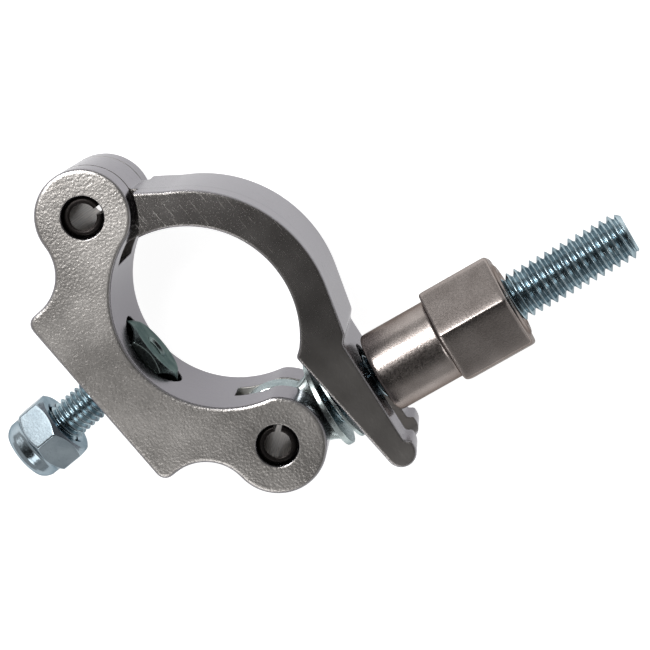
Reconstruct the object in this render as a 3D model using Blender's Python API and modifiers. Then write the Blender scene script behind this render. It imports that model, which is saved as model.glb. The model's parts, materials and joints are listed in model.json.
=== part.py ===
# Slim half coupler: a hinged pipe clamp that hangs a lamp or a fitting under a round tube.
# It lies on its rear face at Z = 0. The tube's axis is the Z axis, +Y runs from the mounting base
# over the tube to the hinged arm, and +X runs from the hinge pin to the eye bolt's pin.
# Every size is in millimetres here and is turned to metres where a mesh or a modifier takes it.

import math

import bmesh
import bpy
from mathutils import Matrix, Vector

MM = 0.001

# --- driving sizes, in mm and degrees --------------------------------------------------------
WIDTH = 35.0                  # along the tube, both castings
EDGE_ROUND = 0.8              # rounding round the rims of both castings
RUN_GAP = 0.3                 # clearance between two pieces that touch or slide

SEAT_R = 26.25                # the tube seat in the body, for tubes up to 52 mm
BARREL_BITE = 0.2             # how far the hinge barrel reaches past the seat's circle
PIN_DROP_DEG = 19.93          # both pins lie this far below the tube's centre line
PIN_HOLE_R = 5.0              # holes for 10 mm spring pins
HINGE_WALL = 6.5              # metal round the hinge hole
EYE_WALL = 6.8                # metal round the eye bolt's hole
SLOT_ROOM = 2.8               # between a barrel and the floor of the slot that it turns in

BASE_THICKNESS = 13.55        # seat bottom to mounting face
BASE_HALF = 25.1              # half length of the mounting face
BASE_CORNER_R = 2.5
FLANK_R = 11.3                # hollow flanks between the barrels and the base

ARM_UNDERCUT = 0.25           # the arm's inner radius is this much less than the seat's
ARM_WALL = 8.6
ARM_TURN_DEG = 1.63           # the arm's centre as seen from the hinge pin, shut past the tube
ARM_TONGUE = 18.6             # width of the arm's tongue between the body's ears
SHOULDER_ROOM = 1.7           # from the ears' rims to the arm's shoulders
ARM_FLARE_DEG = 149.0         # where the arm's back leaves its arc, seen from the arm's centre
ARM_BACK_DEG = 69.5           # where the back runs straight to the nut pad
HEEL_FROM_PIN = (-10.3, 29.5)     # end of the straight back, from the swing bolt's pin
PAD_FROM_PIN = (-8.9, 27.8)       # foot of the heel, where the nut pad starts
PAD_SLOPE_DEG = -7.7
LIP_RISE = 1.4                # the lip keeps the nut from sliding off the pad
TIP_FROM_PIN = (19.8, 21.65)      # centre of the arm's round tip
TIP_R = 3.7
UNDERSIDE_FROM_PIN = 17.15    # flat underside of the nut pad
ARM_THROAT_DEG = 44.0         # where the inner arc ends, seen from the arm's centre
THROAT_CORNER_R = 1.5
FORK_ROOM = 0.4               # on each side of the stud, between the arm's two prongs
FORK_FLOOR_FROM_PIN = 1.7     # centre of the slot's round end, along X

EYE_THICKNESS = 8.6
EYE_R = 11.6
STUD_LEAN_DEG = 9.41          # the stud leans towards +X at rest
STUD_R = 6.1                  # 1/2 inch Whitworth
STUD_TIP = 96.5               # all lengths along the stud are from its pin
STUD_CHAMFER = 1.6
COLLAR_LOW = 12.3
COLLAR_THICKNESS = 1.5
COLLAR_R = 11.5

WASHER_R = 11.2
WASHER_ROOM = 0.8             # from the stud to the washer's hole
WASHER_THICKNESS = 0.8
WASHER_ALONG = 15.75          # the washer's middle
WASHER_TILT_DEG = 5.0         # it leans between the collar and the arm

NUT_LOW = 27.5
SLEEVE_LENGTH = 18.0
SLEEVE_WALL = 4.15            # outside the stud's radius
NUT_HEX_LENGTH = 18.5
NUT_HEX_FLATS = 24.0
NUT_HEX_TURN_DEG = 12.6       # a corner points this far from +Z towards -X
NUT_HEX_CHAMFER = 1.3

BOLT_R = 5.0                  # M10
BOLT_HOLE_ROOM = 0.5
BOLT_HEX_FLATS = 17.0
BOLT_HEX_CHAMFER = 0.6
BOLT_HEAD_HEIGHT = 6.4
BOLT_HEAD_TOP_Y = -23.5       # the screw is loose, so its head stands off its seat
BOLT_LENGTH = 35.0
BOLT_TIP_CHAMFER = 1.0
COUNTERBORE_ROOM = 0.39       # outside the screw head's corners
COUNTERBORE_FLOOR_Y = -31.4

LOCK_NUT_TOP_Y = -53.5        # the face towards the base
LOCK_NUT_HEX = 8.4
LOCK_NUT_HEIGHT = 12.9
LOCK_NUT_CROWN_WALL = 3.0     # the round crown, outside the screw's radius
LOCK_NUT_CROWN_CHAMFER = 1.2
LOCK_RING_WALL = 1.5
LOCK_RING_DEPTH = 2.3
LOCK_RING_LIP = 0.5

PIN_WALL = 1.7
PIN_RECESS = 1.2              # the spring pins end below the castings' faces
PIN_SLIT = 1.8
HINGE_PIN_SLIT_DEG = 74.7
EYE_PIN_SLIT_DEG = 140.6

# --- sizes that follow from them -------------------------------------------------------------
HINGE_BARREL_R = PIN_HOLE_R + HINGE_WALL
EYE_BARREL_R = PIN_HOLE_R + EYE_WALL
PIN_DISTANCE = SEAT_R + HINGE_BARREL_R - BARREL_BITE
PIN_X = PIN_DISTANCE * math.cos(math.radians(PIN_DROP_DEG))
PIN_Y = -PIN_DISTANCE * math.sin(math.radians(PIN_DROP_DEG))
HINGE = Vector((-PIN_X, PIN_Y))
EYE = Vector((PIN_X, PIN_Y))
BASE_Y = -SEAT_R - BASE_THICKNESS
MIDDLE_Z = WIDTH / 2
ARM_R = SEAT_R - ARM_UNDERCUT
ARM_REACH = ARM_R + HINGE_BARREL_R - BARREL_BITE
ARM_TURN = math.radians(ARM_TURN_DEG)
ARM_CENTRE = HINGE + ARM_REACH * Vector((math.cos(ARM_TURN), math.sin(ARM_TURN)))
HEEL = EYE + Vector(HEEL_FROM_PIN)
PAD_START = EYE + Vector(PAD_FROM_PIN)
TIP_CENTRE = EYE + Vector(TIP_FROM_PIN)
UNDERSIDE_Y = PIN_Y + UNDERSIDE_FROM_PIN
FORK_SLOT = 2 * (STUD_R + FORK_ROOM)
FORK_FLOOR_X = PIN_X + FORK_FLOOR_FROM_PIN
WASHER_HOLE_R = STUD_R + WASHER_ROOM
SLEEVE_R = STUD_R + SLEEVE_WALL
BOLT_HOLE_R = BOLT_R + BOLT_HOLE_ROOM
COUNTERBORE_R = BOLT_HEX_FLATS / math.sqrt(3) + COUNTERBORE_ROOM
LOCK_NUT_CROWN_R = BOLT_R + LOCK_NUT_CROWN_WALL
LOCK_RING_R = BOLT_R + LOCK_RING_WALL
NUT_TURN = 90 + NUT_HEX_TURN_DEG
EAR_SLOT = ARM_TONGUE + 2 * RUN_GAP
EYE_SLOT = EYE_THICKNESS + 2 * RUN_GAP
PIN_R = PIN_HOLE_R - RUN_GAP / 2
TURN_HOLE_R = PIN_HOLE_R + RUN_GAP / 2
STUD_AXIS = Vector((math.sin(math.radians(STUD_LEAN_DEG)), math.cos(math.radians(STUD_LEAN_DEG)), 0))

ROUND = 48                    # sides of a turned piece


def material(name, colour, metallic, roughness):
    mat = bpy.data.materials.new(name)
    mat.use_nodes = True
    shader = mat.node_tree.nodes["Principled BSDF"]
    shader.inputs["Base Color"].default_value = (*colour, 1)
    shader.inputs["Metallic"].default_value = metallic
    shader.inputs["Roughness"].default_value = roughness
    return mat


def arc(centre, radius, start_deg, end_deg, step_deg=6.0):
    """Points on a circle from one angle to another, both ends included."""
    steps = max(1, round(abs(end_deg - start_deg) / step_deg))
    angles = [math.radians(start_deg + (end_deg - start_deg) * i / steps) for i in range(steps + 1)]
    return [Vector((centre[0] + radius * math.cos(a), centre[1] + radius * math.sin(a))) for a in angles]


def direction_deg(centre, point):
    """The angle at which a point is seen from a centre, from 0 to 360 degrees."""
    return math.degrees(math.atan2(point[1] - centre[1], point[0] - centre[0])) % 360


def circles_meet(centre_a, radius_a, centre_b, radius_b, side):
    """Where two circles cross; side picks the crossing on the left (1) or right (-1) of a to b."""
    across = Vector(centre_b) - Vector(centre_a)
    distance = across.length
    along = (distance ** 2 + radius_a ** 2 - radius_b ** 2) / (2 * distance)
    off = math.sqrt(max(radius_a ** 2 - along ** 2, 0))
    unit = across / distance
    return Vector(centre_a) + unit * along + side * off * Vector((-unit.y, unit.x))


def line_meets_circle(start, direction_of_line_deg, centre, radius):
    """The first point where a line from start enters a circle."""
    heading = math.radians(direction_of_line_deg)
    unit = Vector((math.cos(heading), math.sin(heading)))
    to_centre = Vector(centre) - Vector(start)
    along = to_centre.dot(unit)
    off = (to_centre - unit * along).length
    return Vector(start) + unit * (along - math.sqrt(max(radius ** 2 - off ** 2, 0)))


def rounded_corner(before, corner, after, radius):
    """The corner of two straight edges, replaced by an arc that touches both."""
    to_before = (Vector(before) - Vector(corner)).normalized()
    to_after = (Vector(after) - Vector(corner)).normalized()
    half = to_before.angle(to_after) / 2
    middle = Vector(corner) + (to_before + to_after).normalized() * radius / math.sin(half)
    first = Vector(corner) + to_before * radius / math.tan(half)
    last = Vector(corner) + to_after * radius / math.tan(half)
    start = direction_deg(middle, first)
    sweep = (direction_deg(middle, last) - start + 180) % 360 - 180
    return arc(middle, radius, start, start + sweep, 15)


def in_parts(obj, mat):
    parts.objects.link(obj)
    obj.data.materials.append(mat)
    return obj


def as_cutter(obj):
    cutters.objects.link(obj)
    obj.display_type = "WIRE"
    obj.hide_render = True
    return obj


def mesh_object(name, bm):
    bmesh.ops.recalc_face_normals(bm, faces=bm.faces)
    mesh = bpy.data.meshes.new(name)
    bm.to_mesh(mesh)
    bm.free()
    return bpy.data.objects.new(name, mesh)


def plate(name, outline, low_z, high_z, turn=None):
    """A flat outline in XY with a thickness along Z, as a mesh about the turning point in turn."""
    origin = Vector(turn) if turn else Vector((0, 0))
    curve = bpy.data.curves.new(name, "CURVE")
    curve.dimensions = "2D"
    curve.fill_mode = "BOTH"
    curve.extrude = (high_z - low_z) / 2 * MM
    spline = curve.splines.new("POLY")
    spline.points.add(len(outline) - 1)
    for point, place in zip(spline.points, outline):
        point.co = ((place[0] - origin.x) * MM, (place[1] - origin.y) * MM, 0, 1)
    spline.use_cyclic_u = True
    drawn = bpy.data.objects.new(name + "_outline", curve)
    bpy.context.scene.collection.objects.link(drawn)
    evaluated = drawn.evaluated_get(bpy.context.evaluated_depsgraph_get())
    mesh = bpy.data.meshes.new_from_object(evaluated)
    bpy.data.objects.remove(drawn)
    bm = bmesh.new()
    bm.from_mesh(mesh)
    bpy.data.meshes.remove(mesh)
    bmesh.ops.remove_doubles(bm, verts=bm.verts, dist=0.00001)
    obj = mesh_object(name, bm)
    obj.location = (origin.x * MM, origin.y * MM, (low_z + high_z) / 2 * MM)
    return obj


def cylinder(name, radius, start, end, sides=ROUND, turn_deg=0.0, top_radius=None):
    """A cylinder, cone or prism between two points; a corner points to turn_deg about its axis."""
    start, end = Vector(start), Vector(end)
    axis = end - start
    bm = bmesh.new()
    bmesh.ops.create_cone(
        bm, cap_ends=True, segments=sides, radius1=radius * MM,
        radius2=(radius if top_radius is None else top_radius) * MM, depth=axis.length * MM)
    bmesh.ops.rotate(bm, verts=bm.verts, matrix=Matrix.Rotation(math.radians(turn_deg), 3, "Z"))
    obj = mesh_object(name, bm)
    obj.rotation_mode = "QUATERNION"
    obj.rotation_quaternion = axis.to_track_quat("Z", "Y")
    obj.location = (start + end) / 2 * MM
    return obj


def box(name, low, high):
    bm = bmesh.new()
    bmesh.ops.create_cube(bm, size=1)
    size = Vector(high) - Vector(low)
    bmesh.ops.scale(bm, verts=bm.verts, vec=size * MM)
    obj = mesh_object(name, bm)
    obj.location = (Vector(low) + Vector(high)) / 2 * MM
    return obj


def turned(name, profile, place, axis):
    """A profile of (radius, height) points turned about an axis, from the top of its outer side down."""
    mesh = bpy.data.meshes.new(name)
    points = [(radius * MM, 0, height * MM) for radius, height in profile]
    mesh.from_pydata(points, [(i, i + 1) for i in range(len(points) - 1)], [])
    obj = bpy.data.objects.new(name, mesh)
    screw = obj.modifiers.new("turned", "SCREW")
    screw.axis = "Z"
    screw.steps = ROUND
    screw.render_steps = ROUND
    screw.use_merge_vertices = True
    screw.merge_threshold = 0.00001
    screw.use_smooth_shade = False
    obj.rotation_mode = "QUATERNION"
    obj.rotation_quaternion = Vector(axis).to_track_quat("Z", "Y")
    obj.location = Vector(place) * MM
    return obj


def combine(obj, other, operation):
    """Joins another shape to an object, or cuts it away."""
    step = obj.modifiers.new(operation.lower() + "_" + other.name, "BOOLEAN")
    step.operation = operation
    step.solver = "EXACT"
    step.object = as_cutter(other)


def round_rims(obj):
    """Rounds the rims of a flat casting, which are its only edges of more than 60 degrees."""
    step = obj.modifiers.new("rims", "BEVEL")
    step.width = EDGE_ROUND * MM
    step.segments = 2
    step.limit_method = "ANGLE"
    step.angle_limit = math.radians(60)


def on_stud(along, across=0.0, z=0.0):
    """A point beside the stud: along it from its pin, across it towards +X, and up from mid width."""
    return Vector((
        EYE.x + along * STUD_AXIS.x + across * STUD_AXIS.y,
        EYE.y + along * STUD_AXIS.y - across * STUD_AXIS.x,
        MIDDLE_Z + z))


# --- the two castings ------------------------------------------------------------------------
def flank(pin, barrel_r, side):
    """The hollow flank from a barrel to the mounting face, for the left (-1) or right (1) side."""
    centre_x = side * (BASE_HALF + FLANK_R)
    drop = math.sqrt((barrel_r + FLANK_R) ** 2 - (centre_x - pin.x) ** 2)
    centre = Vector((centre_x, pin.y - drop))
    touch = direction_deg(centre, pin)
    inner = 0 if side < 0 else 180
    hollow = arc(centre, FLANK_R, touch, inner)
    corner = (side * BASE_HALF, BASE_Y)
    foot = rounded_corner((corner[0], centre.y), corner, (0, BASE_Y), BASE_CORNER_R)
    return hollow + foot, (touch + 180) % 360


def saddle_body():
    """The body: barrels, hollow flanks, a flat base and the tube seat, cut by slots and bores."""
    left_flank, left_touch = flank(HINGE, HINGE_BARREL_R, -1)
    right_flank, right_touch = flank(EYE, EYE_BARREL_R, 1)
    seat_left = circles_meet((0, 0), SEAT_R, HINGE, HINGE_BARREL_R, -1)
    seat_right = circles_meet((0, 0), SEAT_R, EYE, EYE_BARREL_R, 1)
    left_barrel = arc(HINGE, HINGE_BARREL_R, direction_deg(HINGE, seat_left), left_touch)
    right_barrel = arc(EYE, EYE_BARREL_R, right_touch - 360, direction_deg(EYE, seat_right))
    seat = arc((0, 0), SEAT_R, direction_deg((0, 0), seat_right), direction_deg((0, 0), seat_left), 4)
    outline = left_barrel + left_flank[1:] + right_flank[::-1] + right_barrel[1:] + seat[1:-1]

    body = in_parts(plate("saddle_body", outline, 0, WIDTH), cast_aluminium)
    round_rims(body)
    for name, pin, barrel_r, slot in (
            ("ear_slot", HINGE, HINGE_BARREL_R, EAR_SLOT), ("eye_slot", EYE, EYE_BARREL_R, EYE_SLOT)):
        low, high = MIDDLE_Z - slot / 2, MIDDLE_Z + slot / 2
        floor_r = barrel_r + SLOT_ROOM
        combine(body, cylinder(name, floor_r, (*pin, low), (*pin, high), 64), "DIFFERENCE")
        combine(body, cylinder(name + "_pin_hole", PIN_HOLE_R, (*pin, -1), (*pin, WIDTH + 1)), "DIFFERENCE")
    bore_top = (0, COUNTERBORE_FLOOR_Y + 1, MIDDLE_Z)
    bore = cylinder("bolt_hole", BOLT_HOLE_R, (0, BASE_Y - 1, MIDDLE_Z), bore_top)
    combine(body, bore, "DIFFERENCE")
    seat_room = cylinder("head_room", COUNTERBORE_R, (0, COUNTERBORE_FLOOR_Y, MIDDLE_Z), (0, 0, MIDDLE_Z))
    combine(body, seat_room, "DIFFERENCE")


def hinged_arm():
    """The arm: a barrel on the hinge pin, an arched wall, and a forked nut pad with a lip."""
    outer_r = ARM_R + ARM_WALL
    throat = arc(ARM_CENTRE, ARM_R, ARM_THROAT_DEG, ARM_THROAT_DEG)[0]
    inner_end = circles_meet(ARM_CENTRE, ARM_R, HINGE, HINGE_BARREL_R, -1)
    flare = arc(ARM_CENTRE, outer_r, ARM_FLARE_DEG, ARM_FLARE_DEG)[0]
    back_meets = line_meets_circle(flare, ARM_FLARE_DEG + 84, HINGE, HINGE_BARREL_R)
    barrel_start = direction_deg(HINGE, back_meets)
    barrel_end = direction_deg(HINGE, inner_end) + 360
    barrel = arc(HINGE, HINGE_BARREL_R, barrel_start, barrel_end)
    inner = arc(ARM_CENTRE, ARM_R, direction_deg(ARM_CENTRE, inner_end), ARM_THROAT_DEG, 4)
    throat_foot = (throat.x + 1.3, UNDERSIDE_Y)
    under = rounded_corner(throat, throat_foot, (TIP_CENTRE[0], UNDERSIDE_Y), THROAT_CORNER_R)
    tip = arc(TIP_CENTRE, TIP_R, -95, 86, 15)
    slope = math.tan(math.radians(PAD_SLOPE_DEG))
    lip_x = TIP_CENTRE[0] - 1.6
    lip_foot = (lip_x, PAD_START[1] + (lip_x - PAD_START[0]) * slope)
    lip_top = (lip_x + 0.9, lip_foot[1] + LIP_RISE)
    back = arc(ARM_CENTRE, outer_r, ARM_BACK_DEG, ARM_FLARE_DEG, 5)
    outline = barrel + inner[1:] + under + tip + [lip_top, lip_foot, PAD_START, HEEL] + back

    arm = in_parts(plate("hinged_arm", outline, 0, WIDTH, HINGE), cast_aluminium)
    round_rims(arm)
    shoulder_r = HINGE_BARREL_R + SHOULDER_ROOM
    tongue_low, tongue_high = MIDDLE_Z - ARM_TONGUE / 2, MIDDLE_Z + ARM_TONGUE / 2
    for name, low, high in (("front_ear_room", tongue_high, WIDTH + 1), ("rear_ear_room", -1, tongue_low)):
        combine(arm, cylinder(name, shoulder_r, (*HINGE, low), (*HINGE, high), 64), "DIFFERENCE")
    combine(arm, cylinder("arm_pin_hole", TURN_HOLE_R, (*HINGE, -1), (*HINGE, WIDTH + 1)), "DIFFERENCE")
    low, high = UNDERSIDE_Y - 3, HEEL[1] + 3
    slot_low, slot_high = (FORK_FLOOR_X, low, MIDDLE_Z), (FORK_FLOOR_X, high, MIDDLE_Z)
    slot_end = cylinder("fork_end", FORK_SLOT / 2, slot_low, slot_high)
    mouth = box(
        "fork_mouth", (FORK_FLOOR_X, low, MIDDLE_Z - FORK_SLOT / 2),
        (TIP_CENTRE[0] + TIP_R + 2, high, MIDDLE_Z + FORK_SLOT / 2))
    combine(arm, slot_end, "DIFFERENCE")
    combine(arm, mouth, "DIFFERENCE")


# --- pins, eye bolt and clamping nut ---------------------------------------------------------
def spring_pin(name, pin, slit_deg):
    """A slotted tube, rolled from spring steel, with the slit facing slit_deg."""
    low, high = PIN_RECESS, WIDTH - PIN_RECESS
    tube = in_parts(cylinder(name, PIN_R, (*pin, low), (*pin, high)), black_spring_steel)
    bore = cylinder(name + "_bore", PIN_R - PIN_WALL, (*pin, low - 1), (*pin, high + 1))
    combine(tube, bore, "DIFFERENCE")
    slit = box(name + "_slit", (0, -PIN_SLIT / 2, low - 1), (PIN_R + 1, PIN_SLIT / 2, high + 1))
    turn = Matrix.Rotation(math.radians(slit_deg), 4, "Z")
    slit.matrix_world = Matrix.Translation((*pin * MM, 0)) @ turn @ Matrix.Translation(slit.location)
    combine(tube, slit, "DIFFERENCE")


def eye_bolt():
    """The eye bolt: a flat eye on its pin, a collar above it, and the stud."""
    collar_top = COLLAR_LOW + COLLAR_THICKNESS
    low, high = MIDDLE_Z - EYE_THICKNESS / 2, MIDDLE_Z + EYE_THICKNESS / 2
    bolt = in_parts(cylinder("eye_bolt", EYE_R, (*EYE, low), (*EYE, high)), zinc_plated_steel)
    neck_r, foot = EYE_THICKNESS / 2 - RUN_GAP, PIN_HOLE_R + 2.5
    stud = turned("stud", [
        (0, STUD_TIP), (STUD_R - STUD_CHAMFER, STUD_TIP), (STUD_R, STUD_TIP - STUD_CHAMFER),
        (STUD_R, collar_top), (COLLAR_R, collar_top), (COLLAR_R, COLLAR_LOW), (neck_r, COLLAR_LOW),
        (neck_r, foot), (0, foot)],
        (*EYE, MIDDLE_Z), STUD_AXIS)
    combine(bolt, stud, "UNION")
    combine(bolt, cylinder("eye_hole", TURN_HOLE_R, (*EYE, -1), (*EYE, WIDTH + 1)), "DIFFERENCE")


def stud_washer():
    """A thin washer, loose on the stud, leaning between the collar and the arm's underside."""
    lean = math.radians(STUD_LEAN_DEG - WASHER_TILT_DEG)
    axis = Vector((math.sin(lean), math.cos(lean), 0))
    half = axis * WASHER_THICKNESS / 2
    middle = on_stud(WASHER_ALONG)
    washer = in_parts(cylinder("stud_washer", WASHER_R, middle - half, middle + half), zinc_plated_steel)
    hole = cylinder("washer_hole", WASHER_HOLE_R, middle - 9 * half, middle + 9 * half)
    combine(washer, hole, "DIFFERENCE")


def hexagon(name, flats, start, end, turn_deg, chamfer):
    """A hexagon bar whose two ends are turned to a cone, as a nut's or a screw head's are."""
    corner_r = flats / math.sqrt(3)
    bar = cylinder(name, corner_r, start, end, 6, turn_deg)
    height = (Vector(end) - Vector(start)).length
    rise = chamfer * math.tan(math.radians(30))
    cone = turned(name + "_turning", [
        (0, height), (corner_r - chamfer, height), (corner_r + 0.2, height - rise * (1 + 0.2 / chamfer)),
        (corner_r + 0.2, rise * (1 + 0.2 / chamfer)), (corner_r - chamfer, 0), (0, 0)],
        start, Vector(end) - Vector(start))
    combine(bar, cone, "INTERSECT")
    return bar


def sleeve_nut():
    """The clamping nut: a hexagon with a long round sleeve that bears on the arm's pad."""
    hex_low = NUT_LOW + SLEEVE_LENGTH
    hex_top = hex_low + NUT_HEX_LENGTH
    nut = in_parts(
        hexagon("sleeve_nut", NUT_HEX_FLATS, on_stud(hex_low), on_stud(hex_top), NUT_TURN, NUT_HEX_CHAMFER),
        nickel_plated_steel)
    combine(nut, cylinder("sleeve", SLEEVE_R, on_stud(NUT_LOW), on_stud(hex_low + 2)), "UNION")
    bore = cylinder("nut_bore", STUD_R + RUN_GAP, on_stud(NUT_LOW - 1), on_stud(hex_top + 1))
    combine(nut, bore, "DIFFERENCE")


# --- mounting screw and its lock nut ---------------------------------------------------------
def mounting_bolt():
    """The mounting screw, with its hexagon head in the counterbore and its shank through the base."""
    head_low = BOLT_HEAD_TOP_Y - BOLT_HEAD_HEIGHT
    head_foot, head_face = (0, head_low, MIDDLE_Z), (0, BOLT_HEAD_TOP_Y, MIDDLE_Z)
    head = hexagon("mounting_bolt", BOLT_HEX_FLATS, head_foot, head_face, 90, BOLT_HEX_CHAMFER)
    bolt = in_parts(head, zinc_plated_steel)
    shank = turned("shank", [
        (0, BOLT_LENGTH), (BOLT_R - BOLT_TIP_CHAMFER, BOLT_LENGTH), (BOLT_R, BOLT_LENGTH - BOLT_TIP_CHAMFER),
        (BOLT_R, -2), (0, -2)],
        (0, head_low, MIDDLE_Z), (0, -1, 0))
    combine(bolt, shank, "UNION")


def lock_nut():
    """The self-locking nut: a hexagon with a round crown, and a nylon ring pressed into the crown."""
    crown_top = LOCK_NUT_TOP_Y - LOCK_NUT_HEX
    pocket_top = LOCK_NUT_HEIGHT - LOCK_RING_LIP
    pocket_floor = pocket_top - LOCK_RING_DEPTH - RUN_GAP
    nut = in_parts(
        hexagon("lock_nut", BOLT_HEX_FLATS, (0, crown_top, MIDDLE_Z), (0, LOCK_NUT_TOP_Y, MIDDLE_Z), 0,
                BOLT_HEX_CHAMFER), zinc_plated_steel)
    crown = turned("crown", [
        (0, LOCK_NUT_HEIGHT), (LOCK_NUT_CROWN_R - LOCK_NUT_CROWN_CHAMFER, LOCK_NUT_HEIGHT),
        (LOCK_NUT_CROWN_R, LOCK_NUT_HEIGHT - LOCK_NUT_CROWN_CHAMFER),
        (LOCK_NUT_CROWN_R, LOCK_NUT_HEX - 2), (0, LOCK_NUT_HEX - 2)],
        (0, LOCK_NUT_TOP_Y, MIDDLE_Z), (0, -1, 0))
    combine(nut, crown, "UNION")
    bore = turned("lock_nut_bore", [
        (0, LOCK_NUT_HEIGHT + 1), (LOCK_RING_R - 0.5, LOCK_NUT_HEIGHT + 1),
        (LOCK_RING_R - 0.5, pocket_top), (LOCK_RING_R + RUN_GAP / 2, pocket_top),
        (LOCK_RING_R + RUN_GAP / 2, pocket_floor), (BOLT_R + RUN_GAP, pocket_floor),
        (BOLT_R + RUN_GAP, -1), (0, -1)],
        (0, LOCK_NUT_TOP_Y, MIDDLE_Z), (0, -1, 0))
    combine(nut, bore, "DIFFERENCE")

    ring_low = LOCK_NUT_TOP_Y - pocket_top + RUN_GAP / 2
    ring_high = LOCK_NUT_TOP_Y - pocket_floor - RUN_GAP / 2
    ring = in_parts(
        cylinder("lock_ring", LOCK_RING_R, (0, ring_low, MIDDLE_Z), (0, ring_high, MIDDLE_Z)), blue_nylon)
    hole = cylinder("ring_hole", BOLT_R + RUN_GAP, (0, ring_low - 1, MIDDLE_Z), (0, ring_high + 1, MIDDLE_Z))
    combine(ring, hole, "DIFFERENCE")


for old in list(bpy.data.objects):
    bpy.data.objects.remove(old, do_unlink=True)

parts = bpy.data.collections.new("pipe_clamp")
cutters = bpy.data.collections.new("pipe_clamp_cutters")
bpy.context.scene.collection.children.link(parts)
bpy.context.scene.collection.children.link(cutters)

cast_aluminium = material("cast_aluminium", (0.42, 0.41, 0.40), 1.0, 0.38)
zinc_plated_steel = material("zinc_plated_steel", (0.55, 0.60, 0.62), 1.0, 0.30)
nickel_plated_steel = material("nickel_plated_steel", (0.50, 0.48, 0.45), 1.0, 0.22)
black_spring_steel = material("black_spring_steel", (0.03, 0.03, 0.03), 0.6, 0.45)
blue_nylon = material("blue_nylon", (0.75, 0.77, 0.80), 0.0, 0.45)

saddle_body()
hinged_arm()
spring_pin("hinge_spring_pin", HINGE, HINGE_PIN_SLIT_DEG)
spring_pin("eye_bolt_spring_pin", EYE, EYE_PIN_SLIT_DEG)
eye_bolt()
stud_washer()
sleeve_nut()
mounting_bolt()
lock_nut()
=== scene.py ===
import json
import math

import bpy
import numpy as np
from mathutils import Matrix, Vector


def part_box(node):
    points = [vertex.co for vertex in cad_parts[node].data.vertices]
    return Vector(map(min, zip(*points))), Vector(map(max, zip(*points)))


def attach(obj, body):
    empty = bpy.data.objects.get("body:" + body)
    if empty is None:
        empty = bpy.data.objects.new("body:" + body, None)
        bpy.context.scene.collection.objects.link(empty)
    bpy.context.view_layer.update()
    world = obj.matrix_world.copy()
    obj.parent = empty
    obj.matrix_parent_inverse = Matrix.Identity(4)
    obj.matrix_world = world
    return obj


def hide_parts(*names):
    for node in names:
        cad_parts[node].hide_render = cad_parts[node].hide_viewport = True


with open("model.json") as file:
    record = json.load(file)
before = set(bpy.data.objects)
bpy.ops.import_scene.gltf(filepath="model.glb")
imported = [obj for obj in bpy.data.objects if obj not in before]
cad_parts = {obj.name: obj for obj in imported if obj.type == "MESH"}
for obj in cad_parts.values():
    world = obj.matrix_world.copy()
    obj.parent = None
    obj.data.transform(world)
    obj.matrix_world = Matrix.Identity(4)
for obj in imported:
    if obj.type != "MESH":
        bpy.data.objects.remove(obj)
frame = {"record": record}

print("stage: frame loaded")
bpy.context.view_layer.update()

# lengths are in mm until a mesh takes its points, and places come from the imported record
mm = 0.001
jointNamed = {joint["name"]: joint for joint in frame["record"]["behaviour"]["joints"]}
hingePin = np.array(jointNamed["arm_swing"]["pos_m"]) / mm
swingPin = np.array(jointNamed["swing_bolt_swing"]["pos_m"]) / mm
studAxis = np.array(jointNamed["sleeve_nut_travel"]["axis"], float)
studAxis /= np.linalg.norm(studAxis)
studAcross = np.array([studAxis[1], -studAxis[0], 0.0])  # towards +X, square to the stud
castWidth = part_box("saddle_body")[1][2] / mm
midZ = castWidth / 2
xAxis, yAxis, zAxis = np.eye(3)
past = 2.0  # how far a cutter reaches beyond the face that it opens


def arcPoints(centre, radius, startDeg, endDeg, stepDeg=2.0):
    # points at one distance from the centre, at even angles from start to end
    count = max(2, int(abs(endDeg - startDeg) / stepDeg) + 2)
    turn = np.radians(np.linspace(startDeg, endDeg, count))
    return np.stack([centre[0] + radius * np.cos(turn), centre[1] + radius * np.sin(turn)], 1)


def angleOf(centre, point):
    # the bearing of a point from the centre, in degrees from +X against the clock
    return math.degrees(math.atan2(point[1] - centre[1], point[0] - centre[0])) % 360


def circlesMeet(centreA, radiusA, centreB, radiusB, side):
    # the crossing of two circles on the left (1) or right (-1) of the line from A to B
    across = np.subtract(centreB[:2], centreA[:2])
    gap = np.hypot(*across)
    along = (gap ** 2 + radiusA ** 2 - radiusB ** 2) / (2 * gap)
    off = math.sqrt(max(radiusA ** 2 - along ** 2, 0))
    unit = across / gap
    return np.asarray(centreA[:2]) + unit * along + side * off * np.array([-unit[1], unit[0]])


def softLoop(corners, spacing, softness):
    # a closed line resampled at even steps of its length, each point then the Gaussian mean of its neighbours,
    # which rounds every corner to about one and a half times the softness
    corners = np.asarray(corners, float)
    ring = np.vstack([corners, corners[:1]])
    length = np.concatenate([[0], np.cumsum(np.hypot(*np.diff(ring, axis=0).T))])
    count = int(length[-1] / spacing)
    at = np.arange(count) * length[-1] / count
    line = np.stack([np.interp(at, length, ring[:, i]) for i in (0, 1)], 1)
    shift = np.fft.fftfreq(count) * count * length[-1] / count
    bell = np.exp(-0.5 * (shift / softness) ** 2)
    bell /= bell.sum()
    return np.real(np.fft.ifft(np.fft.fft(line, axis=0) * np.fft.fft(bell)[:, None], axis=0))


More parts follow.
